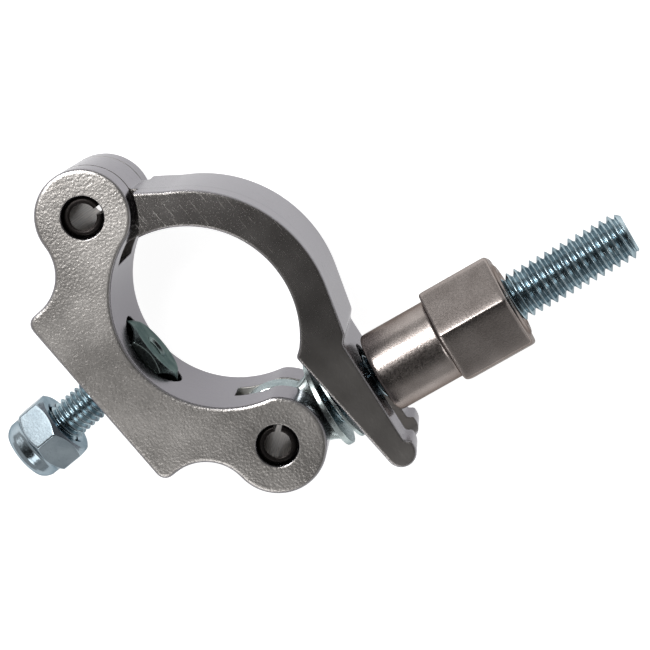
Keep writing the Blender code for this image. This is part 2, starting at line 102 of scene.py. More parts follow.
def softPath(corners, spacing, softness):
    # the same for an open line: its ends are carried straight on, so that they stay where they are
    corners = np.asarray(corners, float)
    length = np.concatenate([[0], np.cumsum(np.hypot(*np.diff(corners, axis=0).T))])
    count = int(length[-1] / spacing) + 2
    at = np.linspace(0, length[-1], count)
    line = np.stack([np.interp(at, length, corners[:, i]) for i in (0, 1)], 1)
    reach = max(2, int(4 * softness / (at[1] - at[0])))
    head = 2 * line[:1] - line[reach:0:-1]
    tail = 2 * line[-1:] - line[-2:-reach - 2:-1]
    bell = np.exp(-0.5 * (np.arange(-reach, reach + 1) * (at[1] - at[0]) / softness) ** 2)
    bell /= bell.sum()
    long = np.vstack([head, line, tail])
    return np.stack([np.convolve(long[:, i], bell, "valid") for i in (0, 1)], 1)


def softMin(a, b, blendWidth):
    # the smaller of two values, with the crease between them rounded over the blend width
    return 0.5 * (a + b - np.sqrt((a - b) ** 2 + blendWidth ** 2))


def addMesh(name, points, faces):
    # points in mm become a smooth-shaded mesh whose object sits at the origin
    mesh = bpy.data.meshes.new(name)
    mesh.from_pydata((np.asarray(points) * mm).tolist(), [], faces)
    mesh.validate()
    piece = bpy.data.objects.new(name, mesh)
    bpy.context.scene.collection.objects.link(piece)
    mesh.shade_smooth()
    return piece


def gridFaces(rows, columns, wrapRows, wrapColumns):
    # quads between neighbouring rows and columns, closed on itself where asked
    r = np.arange(rows if wrapRows else rows - 1)[:, None]
    c = np.arange(columns if wrapColumns else columns - 1)[None, :]
    r2, c2 = (r + 1) % rows, (c + 1) % columns
    corners = (r * columns + c, r * columns + c2, r2 * columns + c2, r2 * columns + c)
    return np.stack(np.broadcast_arrays(*corners), -1).reshape(-1, 4).tolist()


def turnedPiece(name, heights, radii, place, axis, zero, hollow=False):
    # point = place + height * axis + radius * (cos t * zero + sin t * side), over rows of height and columns of t;
    # a solid ends in one point at each end of its axis, and a hollow one closes on its own first row
    rows, columns = radii.shape
    turn = np.linspace(0, 2 * np.pi, columns, endpoint=False)
    side = np.cross(axis, zero)
    outward = np.cos(turn)[:, None] * zero + np.sin(turn)[:, None] * side
    heights = np.broadcast_to(np.asarray(heights).reshape(rows, -1), radii.shape)
    grid = place + heights[..., None] * axis + radii[..., None] * outward[None]
    if hollow:
        return addMesh(name, grid.reshape(-1, 3), gridFaces(rows, columns, True, True))
    faces = gridFaces(rows, columns, False, True)
    ends = np.vstack([place + heights[0, 0] * axis, place + heights[-1, 0] * axis])
    low, high, last = rows * columns, rows * columns + 1, (rows - 1) * columns
    faces += [[low, (i + 1) % columns, i] for i in range(columns)]
    faces += [[high, last + i, last + (i + 1) % columns] for i in range(columns)]
    return addMesh(name, np.vstack([grid.reshape(-1, 3), ends]), faces)


leastR = 0.01  # a profile stops this far from its axis, and a cap of triangles closes the rest


def roundPiece(name, profile, place, axis, zero, sides=128, hollow=False, spacing=0.12, softness=0.12):
    # a profile of (radius, height) corners, softened and turned about the axis
    line = softLoop(profile, spacing, softness) if hollow else softPath(profile, spacing, softness)
    radii = np.repeat(np.maximum(line[:, :1], leastR), sides, 1)
    return turnedPiece(name, line[:, 1], radii, place, axis, zero, hollow)


def hexRadius(turn, acrossFlats, cornerR, blendWidth):
    # distance from the axis to a hexagon's side, with its corners softly cut at the corner radius
    flat = acrossFlats / 2 / np.cos((turn + np.pi / 6) % (np.pi / 3) - np.pi / 6)
    return softMin(flat, cornerR, blendWidth)


def hexPiece(name, profile, place, axis, zero, acrossFlats, cornerR, edge, hollow=False, sides=360,
             spacing=0.15, softness=0.1):
    # radius = the smaller of a turned profile and a hexagon bar, so that the turning leaves its arcs on the flats
    line = softLoop(profile, spacing, softness) if hollow else softPath(profile, spacing, softness)
    turn = np.linspace(0, 2 * np.pi, sides, endpoint=False)
    hexagon = hexRadius(turn + np.pi / 6, acrossFlats, cornerR, edge)  # a corner points along zero
    radii = softMin(np.maximum(line[:, :1], 2 * leastR), np.broadcast_to(hexagon, (len(line), sides)), edge)
    radii = np.maximum(radii, leastR)
    return turnedPiece(name, line[:, 1], radii, place, axis, zero, hollow)


thread = {
    "sides": 96, "rowsPerPitch": 16, "depth": 0.64, "crest": 0.10, "flank": 0.78,  # shares of one pitch
    "endSlope": 0.9, "endBlend": 0.12, "capRows": 5,
}


def threadPiece(name, outerR, pitch, start, end, place, axis, zero, chamfer):
    # radius = outer radius less the depth times a triangle wave of (height / pitch - turn), its crest and root cut
    # flat, and no larger than the cone of the chamfer at the free end
    h = thread
    heights = np.linspace(start, end, int((end - start) / pitch * h["rowsPerPitch"]))
    turn = np.linspace(0, 1, h["sides"], endpoint=False)
    wave = np.abs(2 * ((heights[:, None] / pitch - turn[None]) % 1) - 1)
    radii = outerR - h["depth"] * pitch * np.clip((wave - h["crest"]) / h["flank"], 0, 1)
    radii = softMin(radii, outerR - chamfer + (end - heights[:, None]) * h["endSlope"], h["endBlend"])
    capR = np.linspace(radii[-1].min(), 2 * leastR, h["capRows"])[:, None] * np.ones((1, h["sides"]))
    radii = np.vstack([radii, capR])
    heights = np.concatenate([heights, np.full(h["capRows"], end)])
    return turnedPiece(name, heights, radii, place, axis, zero)


def plateLoop(name, outline, rim, rimDeep, low, high, rimSteps=9):
    # an outline carried up a quarter ellipse, the wall and a quarter ellipse back: each point moves in along its
    # normal by the rim's width times one less the sine, and the two flat ends are single faces
    ahead, behind = np.roll(outline, -1, 0), np.roll(outline, 1, 0)
    along = ahead - behind
    along /= np.hypot(*along.T)[:, None]
    inward = np.stack([-along[:, 1], along[:, 0]], 1)
    bend = np.linspace(0, np.pi / 2, rimSteps)
    inset = np.concatenate([rim * (1 - np.sin(bend)), rim * (1 - np.sin(bend))[::-1]])
    level = np.concatenate([low + rimDeep * (1 - np.cos(bend)), (high - rimDeep * (1 - np.cos(bend)))[::-1]])
    flat = outline[None] + inset[:, None, None] * inward[None]
    rows, columns = len(inset), len(outline)
    height = np.broadcast_to(level[:, None, None], (rows, columns, 1))
    points = np.concatenate([flat, height], 2).reshape(-1, 3)
    faces = gridFaces(rows, columns, False, True)
    faces += [list(range(columns))[::-1], list(range((rows - 1) * columns, rows * columns))]
    return addMesh(name, points, faces)


def cut(piece, cutters):
    # each cutter is taken away exactly, and then removed
    for cutter in cutters:
        step = piece.modifiers.new("cut", "BOOLEAN")
        step.operation, step.solver, step.object = "DIFFERENCE", "EXACT", cutter
    finishMesh(piece)
    for cutter in cutters:
        bpy.data.objects.remove(cutter)


def finishMesh(piece):
    # the modifiers' result becomes the mesh itself
    evaluated = piece.evaluated_get(bpy.context.evaluated_depsgraph_get())
    mesh = bpy.data.meshes.new_from_object(evaluated)
    piece.modifiers.clear()
    piece.data = mesh
    mesh.name = piece.name


def crispShading(piece, angleDeg):
    # smooth shading between faces that meet at less than the angle, with flat faces kept flat
    piece.data.shade_smooth()
    piece.data.set_sharp_from_angle(angle=math.radians(angleDeg))
    weight = piece.modifiers.new("flatFaces", "WEIGHTED_NORMAL")
    weight.keep_sharp = True
    weight.weight = 100
    finishMesh(piece)


def srgb(code):
    # a six-digit sRGB hex colour as linear light, with an alpha of one
    parts = [int(code[i:i + 2], 16) / 255 for i in (1, 3, 5)]
    return [c / 12.92 if c <= 0.04045 else ((c + 0.055) / 1.055) ** 2.4 for c in parts] + [1.0]


def addNode(tree, kind, settings=None, stops=(), **links):
    # adds a node, sets its properties, colour stops and input values, and links the inputs that are given a socket
    node = tree.nodes.new("ShaderNode" + kind)
    for key, value in (settings or {}).items():
        setattr(node, key, value)
    while len(stops) > 2 and len(node.color_ramp.elements) < len(stops):
        node.color_ramp.elements.new(0.5)
    for i, (place, colour) in enumerate(stops):
        node.color_ramp.elements[i].position = place
        node.color_ramp.elements[i].color = colour
    for key, value in links.items():
        # i0, i1 and so on give an input by its number, and any other word by its name
        socket = node.inputs[int(key[1:]) if key[1:].isdigit() else key]
        if isinstance(value, bpy.types.NodeSocket):
            tree.links.new(value, socket)
        else:
            socket.default_value = value
    return node


def newMaterial(name):
    # a material, its node tree, its shader, and the place on the piece in metres
    material = bpy.data.materials.new(name)
    material.use_nodes = True
    tree = material.node_tree
    shader = tree.nodes["Principled BSDF"]
    place = addNode(tree, "TexCoord").outputs["Object"]
    return material, tree, shader, place


def grey(value):
    # one value in all three colours
    return [value, value, value, 1]


# a casting's wear and parting line, in mm: X runs from the hinge towards the nut pad, heights from the rear face
castingWear = {
    "rubbedFrom": -30.0, "rubbedTo": 8.0, "glossFrom": 15.0, "glossTo": 55.0,
    "lineHeight": 26.8, "lineWidth": 0.6, "lineColour": "#3a3836",
    "scratchMm": 0.30, "scratchStretch": 0.045, "pullMm": 2.2, "pullShare": 0.35,
    "faceFrom": 0.80, "faceTo": 0.995, "rampWidth": 0.05, "speckRamp": 0.04,
}


# cast aluminium alloy, vibratory tumbled and then plated with bright nickel: soft pebbled faces that catch the light
# in points, and smooth walls that mirror the room; tumbling leaves pebbles of about 0.3 mm and scratches of a few
# hundredths, too fine to show, so both are drawn at two to ten times that
def tumbledNickelCasting(name, options):
    w = castingWear
    material, tree, shader, place = newMaterial(name)
    normal = addNode(tree, "NewGeometry").outputs["Normal"]
    upward = addNode(tree, "SeparateXYZ", Vector=normal).outputs["Z"]
    faceMask = addNode(tree, "Math", {"operation": "ABSOLUTE"}, i0=upward).outputs[0]
    faceMask = addNode(tree, "MapRange", Value=faceMask, i1=w["faceFrom"], i2=w["faceTo"]).outputs[0]
    cloud = addNode(tree, "TexNoise", Vector=place, Scale=1 / (options["cloudMm"] * mm), Detail=3.0).outputs[0]
    pebble = addNode(tree, "TexVoronoi", {"feature": "SMOOTH_F1"}, Vector=place,
                     Scale=1 / (options["pebbleMm"] * mm), Smoothness=1.0).outputs["Distance"]
    pebble = addNode(tree, "Math", {"operation": "SUBTRACT"}, i0=1.0, i1=pebble).outputs[0]
    grit = addNode(tree, "TexNoise", Vector=place, Scale=1 / (options["gritMm"] * mm), Detail=3.0).outputs[0]
    stretched = addNode(tree, "Mapping", Vector=place, Scale=(w["scratchStretch"], 1, 1)).outputs[0]
    scratch = addNode(tree, "TexNoise", Vector=stretched, Scale=1 / (w["scratchMm"] * mm), Detail=2.0).outputs[0]
    scratch = addNode(tree, "ValToRGB", stops=[(options["scratchFrom"], grey(0)),
                                               (options["scratchFrom"] + w["rampWidth"], grey(1))],
                      Fac=scratch).outputs[0]
    # colour: the plating goes from its dull tone to its bright tone over the cloud, with specks of its own tone
    tone = addNode(tree, "ValToRGB", stops=[(0.32, srgb(options["dull"])), (0.68, srgb(options["bright"]))],
                   Fac=cloud).outputs[0]
    speck = addNode(tree, "ValToRGB", stops=[(options["speckFrom"], grey(0)),
                                             (options["speckFrom"] + w["speckRamp"], grey(1))],
                    Fac=grit).outputs[0]
    # the specks and scratches are rubbed in where the arm's shoulder meets the barrel, and fade out away from it
    fromHinge = addNode(tree, "SeparateXYZ", Vector=place).outputs["X"]
    rubbed = addNode(tree, "MapRange", Value=fromHinge, i1=w["rubbedFrom"] * mm, i2=w["rubbedTo"] * mm, i3=1.0,
                     i4=options["restWear"]).outputs[0]
    speck = addNode(tree, "Math", {"operation": "MULTIPLY"}, i0=speck, i1=rubbed).outputs[0]
    scratch = addNode(tree, "Math", {"operation": "MULTIPLY"}, i0=scratch, i1=rubbed).outputs[0]
    worn = addNode(tree, "Math", {"operation": "MULTIPLY"}, i0=scratch, i1=options["scratchDepth"]).outputs[0]
    speck = addNode(tree, "Math", {"operation": "MAXIMUM"}, i0=speck, i1=worn).outputs[0]
    faceTone = addNode(tree, "MixRGB", Fac=speck, Color1=tone, Color2=srgb(options["speck"])).outputs[0]
    # near the hinge the walls carry a thin dark parting line, where the two halves of the mould met
    level = addNode(tree, "SeparateXYZ", Vector=place).outputs["Z"]
    partLine = addNode(tree, "Math", {"operation": "COMPARE"}, i0=level, i1=w["lineHeight"] * mm,
                       i2=w["lineWidth"] / 2 * mm).outputs[0]
    partLine = addNode(tree, "Math", {"operation": "MULTIPLY"}, i0=partLine, i1=options["partDepth"]).outputs[0]
    partLine = addNode(tree, "Math", {"operation": "MULTIPLY"}, i0=partLine, i1=rubbed).outputs[0]
    wallTone = addNode(tree, "MixRGB", Fac=partLine, Color1=srgb(options["wall"]),
                       Color2=srgb(w["lineColour"])).outputs[0]
    colour = addNode(tree, "MixRGB", Fac=faceMask, Color1=wallTone, Color2=faceTone).outputs[0]
    tree.links.new(colour, shader.inputs["Base Color"])
    # gloss: wall, face and specks each have their own, and the face's changes towards the far end
    midGloss = addNode(tree, "MapRange", Value=fromHinge, i1=w["glossFrom"] * mm, i2=w["glossTo"] * mm,
                       i3=options["faceRough"], i4=options["endRough"]).outputs[0]
    faceGloss = addNode(tree, "MapRange", Value=cloud, i1=0.3, i2=0.7, i3=-options["glossSpread"],
                        i4=options["glossSpread"]).outputs[0]
    faceGloss = addNode(tree, "Math", {"operation": "ADD"}, i0=midGloss, i1=faceGloss).outputs[0]
    faceGloss = addNode(tree, "MixRGB", Fac=speck, Color1=faceGloss, Color2=grey(options["speckRough"])).outputs[0]
    gloss = addNode(tree, "MixRGB", Fac=faceMask, Color1=grey(options["wallRough"]), Color2=faceGloss).outputs[0]
    tree.links.new(gloss, shader.inputs["Roughness"])
    shader.inputs["Metallic"].default_value = 1.0
    shader.inputs["Specular Tint"].default_value = srgb(options["edgeTint"])
    # relief: pebbles and grit on the faces, a faint pull on the walls
    relief = addNode(tree, "MixRGB", Fac=options["gritShare"], Color1=pebble, Color2=grit).outputs[0]
    faceHigh = addNode(tree, "Math", {"operation": "MULTIPLY"}, i0=relief, i1=faceMask).outputs[0]
    scratched = addNode(tree, "Math", {"operation": "MULTIPLY_ADD"}, i0=scratch, i1=options["scratchDepth"],
                        i2=faceHigh).outputs[0]
    pull = addNode(tree, "TexNoise", Vector=place, Scale=1 / (w["pullMm"] * mm), Detail=2.0).outputs[0]
    height = addNode(tree, "Math", {"operation": "MULTIPLY_ADD"}, i0=pull, i1=w["pullShare"],
                     i2=scratched).outputs[0]
    soft = addNode(tree, "Bevel", {"samples": 4}, Radius=options["edgeMm"] * mm).outputs[0]
    bump = addNode(tree, "Bump", Strength=1.0, Distance=options["reliefMm"] * mm, Height=height, Normal=soft)
    tree.links.new(bump.outputs[0], shader.inputs["Normal"])
    return material


stainMm = 0.35  # passivation stains, at about their real size


# steel, machined and electroplated with nickel or clear zinc: a bright metal with soft clouds, small dull stains and
# the plating's orange peel, which is about 0.1 mm in life and is drawn at about half a millimetre so that it shows
def platedSteel(name, options):
    material, tree, shader, place = newMaterial(name)
    cloud = addNode(tree, "TexNoise", Vector=place, Scale=1 / (options["cloudMm"] * mm), Detail=4.0).outputs[0]
    peel = addNode(tree, "TexNoise", Vector=place, Scale=1 / (options["peelMm"] * mm), Detail=2.0).outputs[0]
    colour = addNode(tree, "ValToRGB", stops=[(0.3, srgb(options["dull"])), (0.7, srgb(options["bright"]))],
                     Fac=cloud).outputs[0]
    fine = addNode(tree, "TexNoise", Vector=place, Scale=1 / (stainMm * mm), Detail=2.0).outputs[0]
    stain = addNode(tree, "ValToRGB", stops=[(0.60, grey(0)), (0.72, grey(1))], Fac=fine).outputs[0]
    stain = addNode(tree, "Math", {"operation": "MULTIPLY"}, i0=stain, i1=options["stain"]).outputs[0]
    colour = addNode(tree, "MixRGB", Fac=stain, Color1=colour, Color2=srgb(options["dark"])).outputs[0]
    tree.links.new(colour, shader.inputs["Base Color"])
    low, high = options["rough"] - 0.04, options["rough"] + 0.06
    gloss = addNode(tree, "MapRange", Value=peel, i1=0.3, i2=0.7, i3=low, i4=high).outputs[0]
    tree.links.new(gloss, shader.inputs["Roughness"])
    shader.inputs["Metallic"].default_value = 1.0
    shader.inputs["Specular Tint"].default_value = srgb(options["edgeTint"])
    bump = addNode(tree, "Bump", Strength=1.0, Distance=options["reliefMm"] * mm, Height=peel)
    tree.links.new(bump.outputs[0], shader.inputs["Normal"])
    return material


# spring steel, rolled and blackened: a dark bore with lines along it, which are a few hundredths of a millimetre
# # wide in life and are drawn coarser so that they show, their pale tone a painted sheen, and near-black ends
def blackenedSpringSteel(name, options):
    material, tree, shader, place = newMaterial(name)
    rolled = addNode(tree, "Mapping", Vector=place, Scale=(1, 1, options["lineStretch"])).outputs[0]
    line = addNode(tree, "TexNoise", Vector=rolled, Scale=1 / (options["lineMm"] * mm), Detail=3.0).outputs[0]
    # the lines run from the dark of blackened steel to a pale tone, which is a painted sheen
    bore = addNode(tree, "ValToRGB", stops=[(0.38, srgb(options["dull"])), (0.66, srgb(options["bright"]))],
                   Fac=line).outputs[0]
    normal = addNode(tree, "NewGeometry").outputs["Normal"]
    upward = addNode(tree, "SeparateXYZ", Vector=normal).outputs["Z"]
    endMask = addNode(tree, "Math", {"operation": "ABSOLUTE"}, i0=upward).outputs[0]
    endMask = addNode(tree, "MapRange", Value=endMask, i1=0.15, i2=0.45).outputs[0]
    colour = addNode(tree, "MixRGB", Fac=endMask, Color1=bore, Color2=srgb(options["end"])).outputs[0]
    tree.links.new(colour, shader.inputs["Base Color"])
    low, high = options["rough"]
    gloss = addNode(tree, "MapRange", Value=line, i1=0.3, i2=0.7, i3=low, i4=high).outputs[0]
    tree.links.new(gloss, shader.inputs["Roughness"])
    shader.inputs["Metallic"].default_value = options["metallic"]
    bump = addNode(tree, "Bump", Strength=0.8, Distance=options["reliefMm"] * mm, Height=line)
    tree.links.new(bump.outputs[0], shader.inputs["Normal"])
    return material


# nylon 6, moulded: a pale, half-matt plastic with a faint mottle
def mouldedNylon(name, options):
    material, tree, shader, place = newMaterial(name)
    mottle = addNode(tree, "TexNoise", Vector=place, Scale=1 / (options["mottleMm"] * mm), Detail=3.0).outputs[0]
    colour = addNode(tree, "ValToRGB", stops=[(0.3, srgb(options["dull"])), (0.7, srgb(options["bright"]))],
                     Fac=mottle).outputs[0]
    tree.links.new(colour, shader.inputs["Base Color"])
    shader.inputs["Roughness"].default_value = options["rough"]
    shader.inputs["IOR"].default_value = options["ior"]
    bump = addNode(tree, "Bump", Strength=0.5, Distance=options["reliefMm"] * mm, Height=mottle)
    tree.links.new(bump.outputs[0], shader.inputs["Normal"])
    return material


finishes = {
    # satin faces, walls nearly a mirror
    "saddle": {"cloudMm": 14, "pebbleMm": 0.62, "gritMm": 0.36, "dull": "#aca8a4", "bright": "#bab6b2",
               "speck": "#8a847e", "speckFrom": 0.66, "wall": "#9a989b", "faceRough": 0.37, "speckRough": 0.45,
               "wallRough": 0.18, "edgeTint": "#bfbec1", "gritShare": 0.35, "reliefMm": 0.085,
               "scratchFrom": 0.75, "scratchDepth": 0.0, "edgeMm": 0.50, "partDepth": 0.0, "restWear": 1.0,
               "glossSpread": 0.04, "endRough": 0.37},
    # polished flatter, so darker from above; its face tones are also painted darker than the saddle's, a painted
    # shade,
    #     # with rubbed specks and scratches near the hinge
    "arm": {"cloudMm": 9, "pebbleMm": 0.62, "gritMm": 0.33, "dull": "#8f8b88", "bright": "#9d9996",
            "speck": "#c6c2be", "speckFrom": 0.635, "wall": "#9a989b", "faceRough": 0.26, "speckRough": 0.36,
            "wallRough": 0.18, "edgeTint": "#bfbec1", "gritShare": 0.45, "reliefMm": 0.022,
            "scratchFrom": 0.655, "scratchDepth": 0.6, "edgeMm": 0.55, "partDepth": 0.7, "restWear": 0.20,
            "glossSpread": 0.01, "endRough": 0.36},
    # clear-passivated threads: pale blue crests
    "zinc": {"cloudMm": 5, "peelMm": 0.5, "dull": "#84959d", "bright": "#b4c3c9", "dark": "#4a575f",
             "stain": 0.25, "rough": 0.21, "reliefMm": 0.004, "edgeTint": "#b4babd"},
    # the glossiest zinc
    "zincNut": {"cloudMm": 6, "peelMm": 0.6, "dull": "#87949c", "bright": "#a3afb6", "dark": "#5f6a6e",
                "stain": 0.30, "rough": 0.17, "reliefMm": 0.010, "edgeTint": "#aab2b7"},
    # forged under its zinc, so softer and paler
    "zincEye": {"cloudMm": 4, "peelMm": 0.6, "dull": "#a0abab", "bright": "#c8d1d0", "dark": "#5d696b",
                "stain": 0.5, "rough": 0.27, "reliefMm": 0.016, "edgeTint": "#b4babd"},
    # dulled and greenish
    "zincHead": {"cloudMm": 4, "peelMm": 0.5, "dull": "#5b6768", "bright": "#87928f", "dark": "#2f3637",
                 "stain": 0.5, "rough": 0.20, "reliefMm": 0.016, "edgeTint": "#9aa1a0"},
    # warm grey, half gloss
    "nickel": {"cloudMm": 7, "peelMm": 0.45, "dull": "#8b837f", "bright": "#a19995", "dark": "#5b5450",
               "stain": 0.06, "rough": 0.27, "reliefMm": 0.022, "edgeTint": "#a09a97"},
    # the bright tone of the rolled lines is a painted sheen
    "spring": {"lineMm": 0.30, "lineStretch": 0.02, "dull": "#332f2d", "bright": "#aaa49f", "end": "#1d1a19",
               "rough": (0.32, 0.50), "metallic": 0.9, "reliefMm": 0.03},
    "nylon": {"mottleMm": 0.8, "dull": "#c9d3dc", "bright": "#dfe6ec", "rough": 0.42, "ior": 1.53,
              "reliefMm": 0.02},
}


saddle = {
    "seatR": 26.25, "holeR": 5.0, "hingeWall": 6.5, "swingWall": 6.8, "slotRoom": 2.8,
    "baseY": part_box("saddle_body")[0][1] / mm, "baseHalf": 25.1, "cornerR": 2.5, "flankR": 11.3,
    "hingeSlot": 19.8, "swingSlot": 9.2, "rim": 1.05, "rimDeep": 0.65, "softness": 0.55, "holeChamfer": 0.3,
    "boltHoleR": 5.5, "boltChamfer": 0.6, "boltHoleTopY": -30.0, "recessR": 10.2, "recessFloorY": -31.4,
    "recessTopY": -10.0,
}


def flankPoints(pin, barrelR, side):
    # the hollow between a barrel and the foot: an arc that touches the barrel and ends upright at the foot
    s = saddle
    centreX = side * (s["baseHalf"] + s["flankR"])
    drop = math.sqrt((barrelR + s["flankR"]) ** 2 - (centreX - pin[0]) ** 2)
    centre = (centreX, pin[1] - drop)
    touch = angleOf(centre, pin)
    hollow = arcPoints(centre, s["flankR"], touch, 0 if side < 0 else 180)
    corner = (side * (s["baseHalf"] - s["cornerR"]), s["baseY"] + s["cornerR"])
    foot = arcPoints(corner, s["cornerR"], 180 if side < 0 else 360, 270, 6)
    return np.vstack([hollow, foot]), (touch + 180) % 360


def saddleOutline():
    # hinge barrel, hollow, foot, hollow, swing barrel and seat, round the body against the clock
    s = saddle
    hingeR, swingR = s["holeR"] + s["hingeWall"], s["holeR"] + s["swingWall"]
    leftFlank, leftTouch = flankPoints(hingePin, hingeR, -1)
    rightFlank, rightTouch = flankPoints(swingPin, swingR, 1)
    seatLeft = circlesMeet((0, 0), s["seatR"], hingePin, hingeR, -1)
    seatRight = circlesMeet((0, 0), s["seatR"], swingPin, swingR, 1)
    hingeBarrel = arcPoints(hingePin, hingeR, angleOf(hingePin, seatLeft), leftTouch)
    swingBarrel = arcPoints(swingPin, swingR, rightTouch - 360, angleOf(swingPin, seatRight))
    seat = arcPoints((0, 0), s["seatR"], angleOf((0, 0), seatRight), angleOf((0, 0), seatLeft), 1.0)
    return np.vstack([hingeBarrel, leftFlank[1:], rightFlank[::-1], swingBarrel[1:], seat[1:-1]])


def holeCutter(name, centre, radius, chamfer):
    # a bore that opens at 45 degrees at both faces
    wideR = radius + chamfer + past
    profile = [(0, -past), (wideR, -past), (radius, chamfer), (radius, castWidth - chamfer),
               (wideR, castWidth + past), (0, castWidth + past)]
    return roundPiece(name, profile, np.array([centre[0], centre[1], 0]), zAxis, xAxis, 96, spacing=0.3,
                      softness=0.3)


def discCutter(name, centre, radius, low, high):
    # a plain disc between two heights
    profile = [(0, low), (radius, low), (radius, high), (0, high)]
    return roundPiece(name, profile, np.array([centre[0], centre[1], 0]), zAxis, xAxis, 180, spacing=0.8,
                      softness=0.02)


def makeSaddle():
    # the outline as a rimmed plate, less a slot and a pin hole at each end, the bolt's bore and its head's recess
    s = saddle
    outline = softLoop(saddleOutline(), 0.35, s["softness"])
    piece = plateLoop("saddleCasting", outline, s["rim"], s["rimDeep"], 0, castWidth)
    cutters = []
    for label, pin, wall, slot in (("hinge", hingePin, s["hingeWall"], s["hingeSlot"]),
                                   ("swing", swingPin, s["swingWall"], s["swingSlot"])):
        floorR = s["holeR"] + wall + s["slotRoom"]
        cutters.append(discCutter(label + "Slot", pin, floorR, midZ - slot / 2, midZ + slot / 2))
        cutters.append(holeCutter(label + "Hole", pin, s["holeR"], s["holeChamfer"]))
    middle = np.array([0, 0, midZ])
    bore = [(0, s["baseY"] - past), (s["boltHoleR"] + s["boltChamfer"] + past, s["baseY"] - past),
            (s["boltHoleR"], s["baseY"] + s["boltChamfer"]), (s["boltHoleR"], s["boltHoleTopY"]),
            (0, s["boltHoleTopY"])]
    recess = [(0, s["recessFloorY"]), (s["recessR"], s["recessFloorY"]), (s["recessR"], s["recessTopY"]),
              (0, s["recessTopY"])]
    cutters.append(roundPiece("boltBore", bore, middle, yAxis, xAxis, 96, spacing=0.25, softness=0.05))
    cutters.append(roundPiece("headRecess", recess, middle, yAxis, xAxis, 128, spacing=0.4, softness=0.25))
    cut(piece, cutters)
    crispShading(piece, 32)
    return piece


arm = {
    "innerR": 26.0, "wall": 8.6, "centre": (1.97, -11.74), "barrelR": 11.5, "tongue": 18.3, "holeR": 5.15,
    "holeChamfer": 0.3, "shoulderRoom": 1.7, "shoulderR": 22.0, "shoulderDeg": 60.0,
    "flareDeg": 149.0, "flareTurnDeg": 84.0, "backDeg": 69.5, "heel": (25.0, 16.7), "padStart": (26.4, 15.0),
    "padSlopeDeg": -7.7, "lipBack": 1.6, "lipRun": 0.9, "lipRise": 1.4, "tipCentre": (55.1, 8.85), "tipR": 3.7,
    "tipDegs": (-95, 86), "underY": 4.35, "throatDeg": 44.0, "throatRun": 1.3, "rim": 0.6, "softness": 0.42,
    "slotWidth": 13.0, "slotEndX": 37.0,
    "slotMouth": [(-2.4, 0.0), (-0.8, 0.5), (0.2, 2.2), (2.0, 5.0)],  # (beyond the tip, beyond the slot's side)
}


def armOutline():
    # barrel, inner arc, throat, underside, tip, lip, pad, heel and back, round the arm against the clock
    a = arm
    outerR = a["innerR"] + a["wall"]
    throat = arcPoints(a["centre"], a["innerR"], a["throatDeg"], a["throatDeg"])[0]
    innerEnd = circlesMeet(a["centre"], a["innerR"], hingePin, a["barrelR"], -1)
    flare = arcPoints(a["centre"], outerR, a["flareDeg"], a["flareDeg"])[0]
    heading = np.radians(a["flareDeg"] + a["flareTurnDeg"])
    unit = np.array([np.cos(heading), np.sin(heading)])
    toPin = hingePin[:2] - flare
    along = toPin @ unit
    off = np.hypot(*(toPin - unit * along))
    backMeets = flare + unit * (along - math.sqrt(max(a["barrelR"] ** 2 - off ** 2, 0)))
    barrel = arcPoints(hingePin, a["barrelR"], angleOf(hingePin, backMeets), angleOf(hingePin, innerEnd) + 360)
    inner = arcPoints(a["centre"], a["innerR"], angleOf(a["centre"], innerEnd), a["throatDeg"], 1.0)
    tip = arcPoints(a["tipCentre"], a["tipR"], *a["tipDegs"], 6)
    slope = math.tan(math.radians(a["padSlopeDeg"]))
    lipX = a["tipCentre"][0] - a["lipBack"]
    lipFoot = (lipX, a["padStart"][1] + (lipX - a["padStart"][0]) * slope)
    lipTop = (lipX + a["lipRun"], lipFoot[1] + a["lipRise"])
    back = arcPoints(a["centre"], outerR, a["backDeg"], a["flareDeg"], 1.0)
    under = np.array([[throat[0] + a["throatRun"], a["underY"]]])
    return np.vstack([barrel, inner[1:], under, tip, [lipTop, lipFoot, a["padStart"], a["heel"]], back])


def makeArm():
    # the outline as a rimmed plate, less the room beside the tongue, the pin hole and the stud's slot
    a = arm
    piece = plateLoop("armCasting", softLoop(armOutline(), 0.3, a["softness"]), a["rim"], a["rim"], 0, castWidth)
    shoulderR = a["barrelR"] + a["shoulderRoom"]
    tongueLow, tongueHigh = midZ - a["tongue"] / 2, midZ + a["tongue"] / 2
    # the shoulders end in a wide flat arc, which clears the barrel by the shoulder room at its middle
    lean = math.radians(a["shoulderDeg"])
    centre = hingePin[:2] - (a["shoulderR"] - shoulderR) * np.array([math.cos(lean), math.sin(lean)])
    cutters = [discCutter("frontShoulder", centre, a["shoulderR"], tongueHigh, castWidth + past),
               discCutter("rearShoulder", centre, a["shoulderR"], -past, tongueLow),
               holeCutter("armHole", hingePin, a["holeR"], a["holeChamfer"])]
    # the stud's slot: a stadium in the XZ plane, its mouth widened by a rounded flare
    half = a["slotWidth"] / 2
    mouth = np.array(a["slotMouth"]) + (a["tipCentre"][0] + a["tipR"], half)
    stadium = np.vstack([mouth[::-1], arcPoints((a["slotEndX"], 0), half, 90, 270, 3), mouth * [1, -1]])
    ring = softLoop(stadium, 0.3, 0.3)
    count = len(ring)
    levels = (a["underY"] - 2 * past, a["heel"][1] + 2 * past)
    points = np.vstack([np.stack([ring[:, 0], np.full(count, y), ring[:, 1] + midZ], 1) for y in levels])
    faces = gridFaces(2, count, False, True) + [list(range(count))[::-1], list(range(count, 2 * count))]
    slot = addMesh("studSlot", points, faces)
    slot.data.flip_normals()
    cut(piece, cutters + [slot])
    crispShading(piece, 32)
    return piece


springPin = {"outerR": 4.8, "wall": 1.6, "recess": 1.2, "slit": 1.8, "endInset": 0.5, "endTaper": 0.8, "rows": 90,
             "hingeSlitDeg": 74.7, "swingSlitDeg": 140.6}


